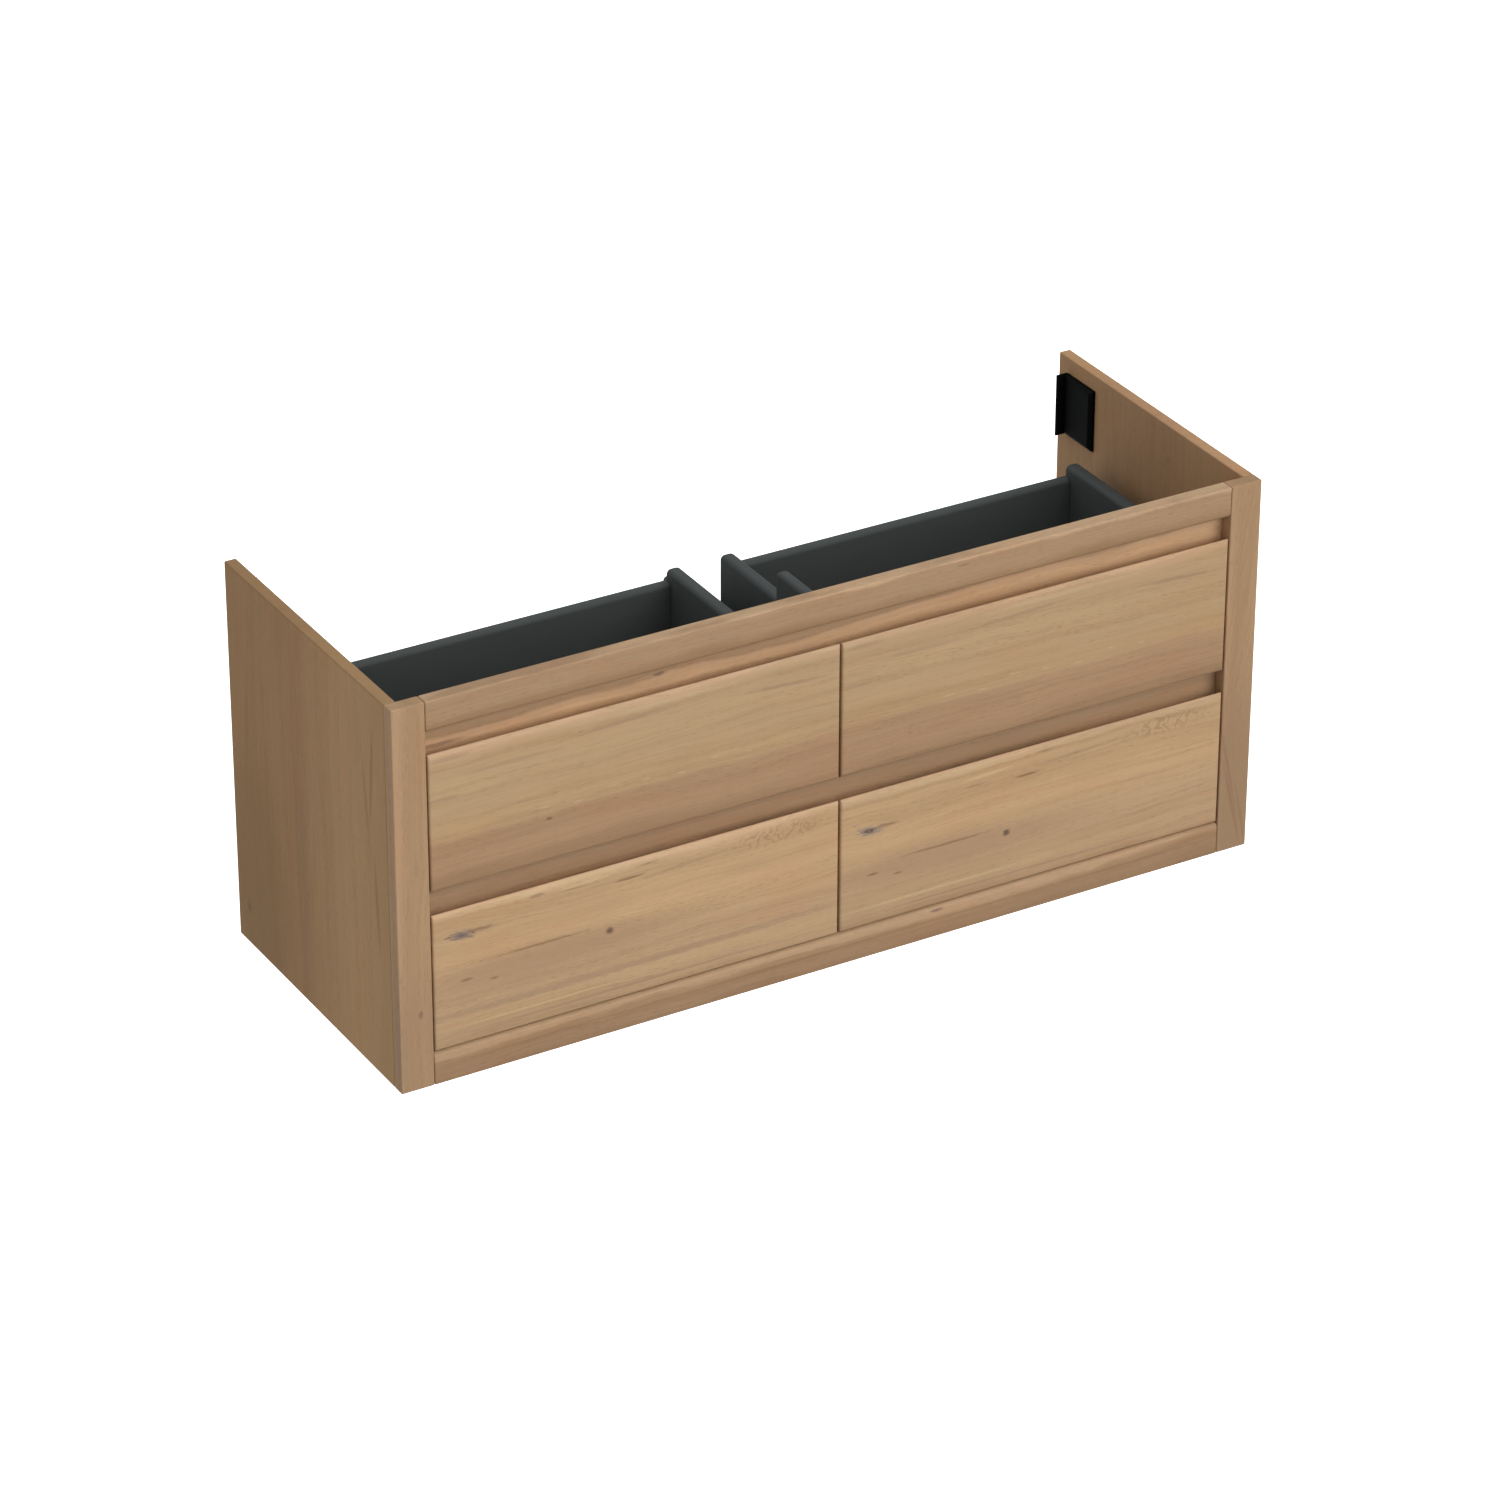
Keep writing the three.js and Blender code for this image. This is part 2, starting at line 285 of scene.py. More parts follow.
def add_marks(g, colour, relief, along, below, rough, marks, seed):
    """Knots, streaks and curly patches, laid over the wood in their order."""
    for mark in marks:
        mask, distance = oak_mark(g, along, below, rough, mark)
        shade = mark["colour"]
        if mark.get("curly"):
            wobble = g.noise(g.vector(g.times(along, 42), g.times(below, 60), seed), 3, 0.6)
            turns = g.plus(g.times(along, 2 * math.pi / CURL_PITCH), g.times(wobble, 34))
            mask = g.times(mask, g.range(g.math("SINE", turns), -0.2, 1.0))
        if mark.get("bends"):
            ringed = g.noise(g.vector(g.times(distance, 3.4), seed, 0.0), 2, 0.6)
            shade = g.blend(g.range(ringed, 0.42, 0.60), shade, mark.get("heart", KNOT_GREY))
        mask = g.times(mask, mark.get("share", 0.8))
        colour = g.blend(mask, colour, shade)
        relief = g.minus(relief, g.times(mask, 0.35 if mark.get("bends") else 0.1))
    return colour, relief


def oak(name, node, along_axis, across_axis, bands, marks=(), seed=0.0, contrast=1.0, slope=0.0):
    """Solid oak. bands are (distance across the board in mm, colour), marks are knots and streaks.

    The seed shifts the figure, and slope tilts it against the board's length.
    """
    g = Graph(name)
    along, below, through, width = oak_place(g, node, along_axis, across_axis)
    shifted = g.plus(along, seed * 3.7)
    side = g.plus(below, seed * 1.3)

    def grain(long, across, fine, depth, detail, roughness=0.5):
        """Noise that is drawn out along the fibres."""
        return g.noise(g.vector(g.times(shifted, long), g.times(across, fine), depth), detail, roughness)

    rough = g.minus(grain(90, side, 420, through, 3), 0.5)
    slow = g.minus(grain(1.7, side, 7, g.times(through, 7), 2), 0.5)
    wander = g.minus(grain(9, side, 30, g.times(through, 30), 3), 0.5)
    blotch = grain(5, side, 24, g.times(through, 24), 3, 0.55)

    bent = g.plus(bent_round_knots(g, along, below, marks), g.times(along, slope))
    warped = g.plus(bent, g.plus(g.times(slow, 0.05), g.times(wander, 0.012)))
    from_pith = g.plus(warped, PITH_SIDE + 0.011 * (seed % 5))
    behind = g.plus(through, PITH_DEPTH)
    radius = g.math("SQRT", g.plus(g.times(from_pith, from_pith), g.times(behind, behind)))
    rings = grain(0.55, radius, 230, seed, 3, 0.62)
    wide = grain(0.9, radius, 46, seed + 3.0, 2)
    fibre = grain(14, warped, 820, g.times(through, 820), 3, 0.6)
    streaks = grain(3.2, warped, 210, seed + 9.0, 3, 0.65)
    pores = grain(85, warped, 1900, g.times(through, 1900), 1, 0.4)
    early = g.range(rings, 0.42, 0.62)
    pore = g.times(g.range(pores, 0.60, 0.72), g.math("MULTIPLY_ADD", early, 0.75, 0.25))

    drift = g.plus(g.times(slow, 0.045), g.times(wander, 0.02))
    share = g.math("DIVIDE", g.plus(below, drift), width)
    colour = g.ramp(share, [(min(max(at * MM / width, 0), 1), shade) for at, shade in bands])
    dark = g.blend(1.0, colour, (0.80, 0.765, 0.72, 1), "MULTIPLY")
    light = g.blend(1.0, colour, (1.09, 1.085, 1.06, 1), "MULTIPLY")
    warm = g.blend(1.0, colour, (1.03, 0.94, 0.90, 1), "MULTIPLY")
    # Pattern, where it starts and where it is full, its greatest share, and its tint.
    layers = [
        (blotch, 0.48, 0.66, 0.75, warm),
        (blotch, 0.46, 0.32, 0.55, light),
        (rings, 0.44, 0.66, 0.24 * contrast, dark),
        (wide, 0.50, 0.66, 0.28 * contrast, dark),
        (wide, 0.50, 0.36, 0.35 * contrast, light),
        (streaks, 0.56, 0.74, 0.42 * contrast, dark),
        (fibre, 0.46, 0.70, 0.30, dark),
        (fibre, 0.50, 0.34, 0.35, light),
    ]
    for pattern, start, full, most, tint in layers:
        colour = g.blend(g.range(pattern, start, full, 0, most), colour, tint)
    hollow = g.blend(1.0, colour, (0.5, 0.44, 0.38, 1), "MULTIPLY")
    colour = g.blend(g.times(pore, 0.45), colour, hollow)
    relief = g.minus(g.times(fibre, 0.35), g.times(pore, 0.8))
    colour, relief = add_marks(g, colour, relief, along, below, rough, marks, seed)

    g.put(g.shader.inputs["Base Color"], colour)
    g.put(g.shader.inputs["Roughness"], g.math("MULTIPLY_ADD", fibre, 0.22, 0.44))
    g.shader.inputs["Specular IOR Level"].default_value = 0.18
    g.bump(relief, 0.0005, 0.55)
    return g.material


# ---------------------------------------------- other materials

def foil(name, colour, light):
    """Wrapped board: a dull dark foil with a fine grain and faint cloudiness."""
    g = Graph(name)
    x, y, z = g.place()
    where = g.vector(x, y, z)
    grain = g.noise(g.scaled(where, (2600, 2600, 2600)), 2, 0.6)
    cloud = g.noise(g.scaled(where, (9, 40, 40)), 4, 0.6)
    dust = g.range(g.noise(g.scaled(where, (900, 900, 900)), 1), 0.66, 0.74)
    shade = g.blend(g.range(cloud, 0.30, 0.72, 0, 0.7), colour, light)
    shade = g.blend(g.times(dust, 0.25), shade, light)

    g.put(g.shader.inputs["Base Color"], shade)
    g.put(g.shader.inputs["Roughness"], g.math("MULTIPLY_ADD", grain, 0.25, 0.45))
    g.shader.inputs["Specular IOR Level"].default_value = 0.08
    g.bump(grain, 0.00012, 0.5)
    return g.material


def powder_coat(name, colour, light):
    """Black powder coat with orange peel."""
    g = Graph(name)
    x, y, z = g.place()
    where = g.vector(x, y, z)
    peel = g.noise(g.scaled(where, (700, 700, 700)), 3, 0.6)
    speck = g.noise(g.scaled(where, (3200, 3200, 3200)), 1)
    g.put(g.shader.inputs["Base Color"], g.blend(g.range(speck, 0.5, 0.75), colour, light))
    g.put(g.shader.inputs["Roughness"], g.math("MULTIPLY_ADD", peel, 0.3, 0.38))
    g.shader.inputs["Specular IOR Level"].default_value = 0.06
    g.bump(peel, 0.0002, 0.6)
    return g.material


def zinc(name, colour, dull):
    """Zinc-plated sheet: rolling marks along Y and soft crystal patches."""
    g = Graph(name)
    x, y, z = g.place()
    where = g.vector(x, y, z)
    rolled = g.noise(g.scaled(where, (1800, 26, 1800)), 3, 0.6)
    patch = g.noise(g.scaled(where, (130, 130, 130)), 2, 0.5)
    g.put(g.shader.inputs["Base Color"], g.blend(g.range(patch, 0.36, 0.66), colour, dull))
    g.put(g.shader.inputs["Roughness"], g.math("MULTIPLY_ADD", rolled, 0.28, 0.2))
    g.shader.inputs["Metallic"].default_value = 1.0
    g.bump(rolled, 0.00008, 0.5)
    return g.material


def moulded(name, colour, light):
    """Grey moulded plastic."""
    g = Graph(name)
    x, y, z = g.place()
    grain = g.noise(g.scaled(g.vector(x, y, z), (1500, 1500, 1500)), 2, 0.6)
    g.put(g.shader.inputs["Base Color"], g.blend(grain, colour, light))
    g.put(g.shader.inputs["Roughness"], g.math("MULTIPLY_ADD", grain, 0.2, 0.35))
    g.bump(grain, 0.0001, 0.4)
    return g.material


GREY = foil("grey_foil", (0.078, 0.089, 0.088, 1), (0.085, 0.096, 0.095, 1))
BLACK = powder_coat("black_powder", (0.0035, 0.004, 0.004, 1), (0.007, 0.008, 0.008, 1))
ZINC = zinc("zinc_sheet", (0.57, 0.58, 0.59, 1), (0.50, 0.51, 0.53, 1))
PLASTIC = moulded("catch_plastic", (0.10, 0.105, 0.11, 1), (0.14, 0.145, 0.15, 1))


# ---------------------------------------------- mesh helpers

WELD = 0.01 * MM             # corners closer than this become one, so that no face is empty
CREASE = 34                  # degrees, an edge that turns more is drawn sharp
NEAR = 1e-6                  # two places closer than this are the same


def finish_piece(name, bm, material, body, replaces=()):
    """Turns a bmesh into a smooth-shaded piece that rides on a body."""
    bmesh.ops.remove_doubles(bm, verts=bm.verts, dist=WELD)
    bmesh.ops.dissolve_degenerate(bm, dist=WELD, edges=bm.edges)

    bmesh.ops.recalc_face_normals(bm, faces=bm.faces)
    mesh = bpy.data.meshes.new(name)
    bm.to_mesh(mesh)
    bm.free()
    for face in mesh.polygons:
        face.use_smooth = True
    mesh.set_sharp_from_angle(angle=math.radians(CREASE))
    mesh.materials.append(material)
    piece = bpy.data.objects.new(name, mesh)
    bpy.context.scene.collection.objects.link(piece)
    even = piece.modifiers.new("even_normals", "WEIGHTED_NORMAL")
    even.keep_sharp = True
    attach(piece, body)
    if replaces:
        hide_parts(*replaces)
    return piece


def add_box(bm, low, high):
    """A box between two corners. Returns its new edges."""
    made = bmesh.ops.create_cube(bm, size=1)
    size = Vector(high) - Vector(low)
    middle = (Vector(high) + Vector(low)) / 2
    for vertex in made["verts"]:
        vertex.co = Vector([c * s for c, s in zip(vertex.co, size)]) + middle
    return list({edge for vertex in made["verts"] for edge in vertex.link_edges})


def soften(bm, edges, radius, segments=3):
    bmesh.ops.bevel(bm, geom=edges, offset=radius, segments=segments, profile=0.5,
                    affect="EDGES", clamp_overlap=True)


def add_prism(bm, outline, start, end, axis):
    """A closed outline extruded along an axis. Its points are the other two coordinates in order."""
    def corner(point, at):
        values = list(point)
        values.insert(axis, at)
        return bm.verts.new(values)

    first = [corner(point, start) for point in outline]
    last = [corner(point, end) for point in outline]
    count = len(outline)
    caps = [bm.faces.new(first), bm.faces.new(last[::-1])]
    for i in range(count):
        bm.faces.new((first[i], last[i], last[(i + 1) % count], first[(i + 1) % count]))
    return caps


def skin(bm, loops):
    """Walls between closed loops of corners, and a cap at both ends. Returns the last cap."""
    count = len(loops[0])
    for here, there in zip(loops, loops[1:]):
        for i in range(count):
            j = (i + 1) % count
            bm.faces.new((here[i], here[j], there[j], there[i]))
    bm.faces.new(loops[0][::-1])
    return bm.faces.new(loops[-1])


def arc(centre, radius, start, end, steps):
    """Points on an arc, angles in degrees."""
    angles = [math.radians(start + (end - start) * i / steps) for i in range(steps + 1)]
    return [(centre[0] + radius * math.cos(a), centre[1] + radius * math.sin(a)) for a in angles]


def rounded_path(points, radius, steps=5):
    """An open path whose inner corners are arcs."""
    path = [Vector(points[0])]
    for before, here, after in zip(points, points[1:], points[2:]):
        here = Vector(here)
        back = (Vector(before) - here).normalized()
        on = (Vector(after) - here).normalized()
        start, end = here + back * radius, here + on * radius
        centre = start + on * radius
        for i in range(steps + 1):
            turn = math.pi / 2 * i / steps
            path.append(centre + (start - centre) * math.cos(turn) + (end - centre) * math.sin(turn))
    path.append(Vector(points[-1]))
    return path


def sheet_outline(points, thickness, bend):
    """Outline of a bent sheet whose middle line follows square corners."""
    path = rounded_path(points, bend)
    left, right = [], []
    for i, point in enumerate(path):
        ahead = path[min(i + 1, len(path) - 1)] - path[max(i - 1, 0)]
        ahead.normalize()
        across = Vector((-ahead.y, ahead.x)) * thickness / 2
        left.append(tuple(point + across))
        right.append(tuple(point - across))
    return left + right[::-1]


# ---------------------------------------------- boards

EASE = 1.7 * MM              # eased edge of solid oak
# Soft edges of the drawer fronts. The upper one is as deep as the flat in front of the finger bevel.
FRONT_FOOT = {"upper": 7 * MM, "lower": 3 * MM}
FRONT_HEAD = 7 * MM
FRONT_END = 3 * MM           # left and right
LOWER_EASE = 6 * MM          # wider rounding of the top rail's lower front edge
UPPER_EASE = 7 * MM          # wider rounding of the bottom rail's upper front edge
FOIL_EASE = 0.7 * MM         # eased edge of wrapped board
BOX_ROUND = 6.5 * MM         # rounded upper edges of the drawer box sides
BOX_CORNER = 9 * MM          # rounded rear upper corner of those sides
BACK_ROUND = 6 * MM          # rounded upper edges of the drawer box backs
BACK_LAND = 0.2 * MM         # least half of the flat between them
BACK_END = 0.8 * MM          # softened ends of the backs
PARTITION_ROUND = 5.5 * MM   # rounded upper edges of the partition
PARTITION_CORNER = 8 * MM    # rounded rear corner of its head


def both(edge, axis, place):
    return all(abs(vertex.co[axis] - place) < NEAR for vertex in edge.verts)


def sharp_edges(bm, angle=30):
    return [edge for edge in bm.edges if edge.calc_face_angle(0) > math.radians(angle)]


def eased_board(node, material, body, radius, under=0.0, over=0.0):
    """A plain board. under and over are wider roundings of its lower and its upper front edge."""
    low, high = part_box(node)
    bm = bmesh.new()
    edges = add_box(bm, low, high)
    if under:
        soften(bm, [edge for edge in edges if both(edge, Y, low.y) and both(edge, Z, low.z)], under, 6)
    if over:
        soften(bm, [edge for edge in edges if both(edge, Y, low.y) and both(edge, Z, high.z)], over, 6)
    soften(bm, sharp_edges(bm), radius)
    return finish_piece(f"{node}_board", bm, material, body, [node])


def add_rounded_slab(bm, outline_at, x0, x1, rounding):
    """A board across X. outline_at(inset) is its outline in Y and Z, drawn in where it is rounded."""
    steps = 7
    levels = []
    for i in range(steps + 1):
        turn = math.pi / 2 * i / steps
        levels.append((x0 + rounding * (1 - math.cos(turn)), rounding * (1 - math.sin(turn))))
    levels += [(x0 + x1 - x, inset) for x, inset in reversed(levels)]
    loops = [[bm.verts.new((x, y, z)) for y, z in outline_at(inset)] for x, inset in levels]
    skin(bm, loops)
    bmesh.ops.recalc_face_normals(bm, faces=bm.faces)


def wrapped_slab(name, outline_at, x0, x1, rounding, body, replaces):
    """A rounded slab in grey foil, its other edges eased."""
    bm = bmesh.new()
    add_rounded_slab(bm, outline_at, x0, x1, rounding)
    soften(bm, sharp_edges(bm, 60), FOIL_EASE, 2)
    return finish_piece(name, bm, GREY, body, replaces)


def drawer_side(node, body):
    """Rounded along its upper and rear edges, with a wide rear upper corner."""
    low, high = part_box(node)

    def outline_at(inset):
        corner = arc((high.y - BOX_CORNER, high.z - BOX_CORNER), BOX_CORNER - inset, 0, 90, 8)
        return [(low.y, low.z), (high.y - inset, low.z), *corner, (low.y, high.z - inset)]

    wrapped_slab(f"{node}_board", outline_at, low.x, high.x, BOX_ROUND, body, [node])


def drawer_back(node, body):
    """A wrapped board with two rounded upper edges and softened ends."""
    low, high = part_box(node)
    radius = min(BACK_ROUND, (high.y - low.y) / 2 - BACK_LAND)
    outline = [(low.y, low.z), (high.y, low.z)]
    outline += arc((high.y - radius, high.z - radius), radius, 0, 90, 8)
    outline += arc((low.y + radius, high.z - radius), radius, 90, 180, 8)
    bm = bmesh.new()
    caps = add_prism(bm, outline, low.x, high.x, X)
    soften(bm, list({edge for cap in caps for edge in cap.edges}), BACK_END, 3)
    soften(bm, [edge for edge in sharp_edges(bm, 60) if both(edge, Z, low.z)], FOIL_EASE, 2)
    finish_piece(f"{node}_board", bm, GREY, body, [node])


# ---------------------------------------------- oak colours of each board

LIGHT_TAN = tone(189, 156, 119)
GREEN_TAN = tone(183, 154, 118)
PINK_TAN = tone(173, 139, 107)
BROWN_TAN = tone(160, 128, 97)
RAIL_TAN = tone(173, 142, 111)
BAND_TAN = tone(170, 138, 107)
FIGURE = tone(140, 108, 78)

# The figure of a right front is that of the left one, moved by these distances in millimetres.
SECOND_SHIFT = 2
SECOND_DROP = 17             # of the lower fronts
SECOND_SEED = 0.4            # a slightly different grain

# Colours down the fronts, in mm from their upper edge. The lighter first 5 mm are a painted highlight along the
# rounded upper edge; lower down the colours grow darker towards the lower edge.
UPPER_BANDS = [
    (0, tone(202, 168, 134)), (5, tone(192, 160, 126)), (14, GREEN_TAN), (64, GREEN_TAN),
    (104, tone(183, 152, 115)), (126, tone(175, 141, 109)), (160, tone(170, 136, 105)), (180, BROWN_TAN),
]
LOWER_BANDS = [
    (0, tone(204, 170, 136)), (5, tone(195, 162, 128)), (14, LIGHT_TAN), (78, tone(195, 161, 123)),
    (126, tone(185, 153, 119)), (158, tone(186, 156, 120)), (174, tone(182, 151, 117)),
    (184, tone(172, 142, 108)),
]


def upper_marks(right):
    """Marks of the upper fronts. Only the left one has the small knot."""
    shift = SECOND_SHIFT if right else 0
    marks = [] if right else [dict(at=(157, 126), half=(4, 2), colour=KNOT_BROWN, share=0.6)]
    marks += [
        dict(at=(28 + shift, 10), half=(26, 3), colour=SMUDGE, share=0.35),
        dict(at=(110 + shift, 36), half=(60, 2.5), colour=SMUDGE, share=0.35),
        dict(at=(20 + shift, 62), half=(22, 2.2), colour=SMUDGE, share=0.4),
        dict(at=(478 + shift, 34), half=(54, 2.6), colour=SMUDGE, share=0.5, tilt=0.05, ragged=1.6),
        dict(at=(250 + shift, 24), half=(70, 2.4), colour=SMUDGE, share=0.4, tilt=-0.04, ragged=1.8),
        dict(at=(300 + shift, 12), half=(90, 3), colour=FLECK, share=0.3, ragged=2.0),
    ]
    for i in range(7):
        marks.append(dict(at=(150 + shift + 46 * i, 109 + 5 * math.sin(2.1 * i)),
                          half=(8 - 0.6 * i, 1.2), colour=FLECK, share=0.34, ragged=1.6))
    return marks


def lower_marks(right):
    """Marks of the lower fronts. They repeat on the right one, lower down. Three are on the left one only."""
    shift = SECOND_SHIFT if right else 0
    drop = SECOND_DROP if right else 0
    marks = [
        dict(at=(150 + shift, 97 + drop), half=(190, 19), colour=BAND_TAN, share=0.75, edge=1.1),
        dict(at=(60 + shift, 34 + drop), half=(20, 2.4), colour=tone(128, 94, 76), share=0.6, ragged=1.6),
        dict(at=(38 + shift, 36 + drop), half=(16, 5.6), colour=tone(92, 74, 66), share=0.85, bends=0.75,
             tilt=0.10, ragged=2.6, heart=tone(140, 130, 124)),
        dict(at=(236 + shift, 87 + 1.4 * drop), half=(5, 4.5), colour=KNOT_BROWN, share=0.9, bends=0.8,
             heart=tone(112, 92, 88)),
        dict(at=(264 + shift, 23 + 0.8 * drop), half=(18, 1.8), colour=STREAK, share=0.75),
        dict(at=(148 + shift, 78 + 1.4 * drop), half=(56, 1.7), colour=STREAK, share=0.6),
        dict(at=(250 + shift, 170), half=(200, 1.8), colour=SMUDGE, share=0.5),
        dict(at=(140 + shift, 160), half=(110, 1.8), colour=FLECK, share=0.4),
        dict(at=(44 + shift, 98 + drop), half=(8, 1.8), colour=STREAK, share=0.7),
        dict(at=(80 + shift, 106 + drop), half=(6, 1.6), colour=STREAK, share=0.6),
        dict(at=(190 + shift, 15 + drop), half=(16, 1.5), colour=SMUDGE, share=0.55, ragged=2.0),
        dict(at=(290 + shift, 10), half=(14, 1.6), colour=SMUDGE, share=0.6, ragged=2.0),
        dict(at=(170 + shift, 6), half=(150, 3.5), colour=FLECK, share=0.4, ragged=2.4),
        dict(at=(330 + shift, 26), half=(60, 2.2), colour=SMUDGE, share=0.35, tilt=-0.05, ragged=1.8),
        dict(at=(470 + shift, 20), half=(58, 12), colour=STREAK, share=0.36, curly=True),
    ]
    if not right:
        marks += [
            dict(at=(240, 142), half=(320, 5), colour=SMUDGE, share=0.5, ragged=1.6),
            dict(at=(138, 11), half=(9, 2.6), colour=STREAK, share=0.5, ragged=2.4),
            dict(at=(126, 6), half=(14, 3), colour=FLECK, share=0.7, ragged=2.4),
        ]
    last = dict(at=(205 + shift, 12 + drop / 2), half=(34, 2.2), colour=FLECK, share=0.55, tilt=-0.04)
    return marks + [last]


def oak_boards():
    """The solid oak boards, each with bands of colour from its upper, left or front edge, and marks. On the
    rails and crossbars the bands hold painted highlights and painted shade.
    """
    horizontal, upright = dict(along_axis=X, across_axis=Z), dict(along_axis=Z, across_axis=X)
    sideways = dict(along_axis=Z, across_axis=Y)
    # Top rail: a painted highlight along its upper edge, and painted shade growing towards its lower edge over
    # the finger gap.
    rail = [(0, tone(197, 165, 131)), (5, RAIL_TAN), (27, tone(171, 140, 109)), (41, tone(158, 126, 94))]
    # Bottom rail: a painted highlight on its rounded upper edge, darker below it.
    foot = [(0, tone(186, 155, 121)), (8, tone(184, 152, 119)), (14, tone(166, 135, 102)),
            (20, tone(157, 126, 95)), (27, tone(161, 130, 100)), (43, tone(151, 121, 91))]
    # Crossbars: the darker upper bands are painted shade under the top rail and the upper fronts; the bright
    # bands are painted light on the strip that shows through the finger gaps.
    cross = [(0, tone(170, 139, 107)), (16, tone(172, 140, 108)), (23, tone(202, 165, 129)),
             (31, tone(210, 172, 134)), (39, tone(199, 162, 124)), (46, tone(200, 162, 124)),
             (60, tone(192, 155, 119))]
    middle = [(0, tone(164, 135, 104)), (19, tone(163, 134, 104)), (30, tone(170, 138, 107)),
              (38, tone(174, 142, 110)), (46, tone(190, 153, 118)), (60, tone(182, 145, 111))]
    stile = [(0, tone(181, 148, 115)), (18, tone(170, 139, 106)), (44, tone(175, 143, 109))]
    panel = [(0, tone(179, 144, 102)), (90, tone(187, 150, 107)), (175, tone(178, 141, 99)),
             (235, tone(168, 131, 91)), (330, tone(169, 133, 92)), (416, tone(166, 130, 90))]
    inner_panel = [(0, tone(192, 152, 114)), (235, tone(182, 143, 106)), (416, tone(188, 149, 109))]
    panel_shades = [
        dict(at=(0, 208), half=(2.2, 900), colour=tone(136, 110, 78), share=0.45),
        dict(at=(430, 350), half=(190, 80), colour=tone(144, 110, 74), share=0.6),
    ]
    panel_streaks = [
        dict(at=(110, 36), half=(62, 3.5), colour=FIGURE, share=0.45, tilt=0.10),
        dict(at=(150, 52), half=(70, 3), colour=FIGURE, share=0.3, tilt=-0.12),
        dict(at=(285, 30), half=(60, 3.5), colour=FIGURE, share=0.45, tilt=-0.05),
        dict(at=(360, 232), half=(150, 16), colour=FIGURE, share=0.25, ragged=1.4),
        dict(at=(200, 372), half=(75, 4), colour=FIGURE, share=0.3, tilt=0.10),
        dict(at=(462, 386), half=(9, 4), colour=KNOT_BROWN, share=0.45, bends=0.6),
    ]
    boards = [
        ("top_rail", dict(horizontal, bands=rail, seed=1.0, marks=[
            dict(at=(726, 8), half=(9, 1.6), colour=STREAK, share=0.5)])),
        ("bottom_rail", dict(horizontal, bands=foot, seed=2.0, marks=[
            dict(at=(696, 6), half=(9, 2), colour=KNOT_BROWN, share=0.7, bends=0.6),
            dict(at=(620, 19), half=(560, 2.2), colour=STREAK, share=0.35, ragged=1.5)])),
        ("upper_crossbar", dict(horizontal, bands=cross, seed=3.0, marks=[
            # A darker patch at the left end of the strip, low down beside the stile.
            dict(at=(26, 35), half=(34, 3), colour=KNOT_BROWN, share=0.5),
            dict(at=(321, 20), half=(8, 2.4), colour=KNOT_BROWN, share=0.7, bends=0.7),
            dict(at=(226, 12), half=(8, 2), colour=STREAK, share=0.6)])),
        ("middle_crossbar", dict(horizontal, bands=middle, seed=4.0)),
        ("rear_brace", dict(horizontal, bands=[(0, RAIL_TAN), (120, PINK_TAN)], seed=5.0)),
        ("left_stile", dict(upright, bands=stile, seed=6.0, marks=[
            dict(at=(218, 27), half=(13, 5), colour=SMUDGE, share=0.45, bends=0.5, heart=PINK_TAN),
            dict(at=(480, 22), half=(120, 60), colour=SMUDGE, share=0.3),
            dict(at=(413, 28), half=(5, 3), colour=KNOT_BROWN, share=0.55, bends=0.6)])),
        ("right_stile", dict(upright, bands=stile, seed=7.0, slope=0.12, marks=[
            dict(at=(500, 22), half=(240, 70), colour=tone(150, 122, 94), share=0.7),
            dict(at=(395, 12), half=(60, 2.6), colour=STREAK, share=0.35, tilt=0.22),
            dict(at=(450, 20), half=(60, 2.6), colour=STREAK, share=0.4, tilt=0.24),
            dict(at=(470, 34), half=(50, 2.2), colour=STREAK, share=0.3, tilt=0.2)])),
        ("left_side_panel", dict(
            sideways, bands=panel, seed=8.0, contrast=0.7, marks=panel_shades + panel_streaks)),
        ("right_side_panel", dict(
            sideways, bands=inner_panel, seed=9.0, contrast=0.7, marks=panel_streaks)),
    ]
    for node, facts in boards:
        material = oak(f"oak_{node}", node, **facts)
        under = LOWER_EASE if node == "top_rail" else 0.0
        over = UPPER_EASE if node == "bottom_rail" else 0.0
        eased_board(node, material, "carcass", EASE, under, over)


# The finger bevel behind the upper edge of each front.
BEVEL_FLAT = 3 * MM
BEVEL_HEIGHT = 22 * MM


def front_outline(low, high, foot):
    """A front's outline in Y and Z, soft along both edges of its face and bevelled behind the upper one."""
    head = [(low.y + BEVEL_FLAT * (1 + y), high.z - FRONT_HEAD * (1 - z))
            for y, z in arc((0, 0), 1, 90, 180, 7)]
    return [
        *head,
        *arc((low.y + foot, low.z + foot), foot, 180, 270, 7),
        (high.y, low.z),
        (high.y, high.z - BEVEL_HEIGHT),
    ]


def drawer_front(row, side):
    """A solid oak front with soft edges all round its face."""
    node = f"{row}_{side}_drawer_front"
    low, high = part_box(node)
    outline = front_outline(low, high, FRONT_FOOT[row])
    right = side == "right"
    if row == "upper":
        bands, marks, seed = UPPER_BANDS, upper_marks(right), 11.0
    else:
        bands, marks, seed = LOWER_BANDS, lower_marks(right), 12.0
    seed += SECOND_SEED if right else 0
    material = oak(f"oak_{node}", node, X, Z, bands, marks, seed=seed, contrast=1.25)

    def outline_at(inset):
        return [(max(y, low.y + inset), z) for y, z in outline]

    bm = bmesh.new()
    add_rounded_slab(bm, outline_at, low.x, high.x, FRONT_END)
    soften(bm, sharp_edges(bm, 45), EASE, 2)
    finish_piece(f"{node}_board", bm, material, f"{row}_{side}_drawer", [node])


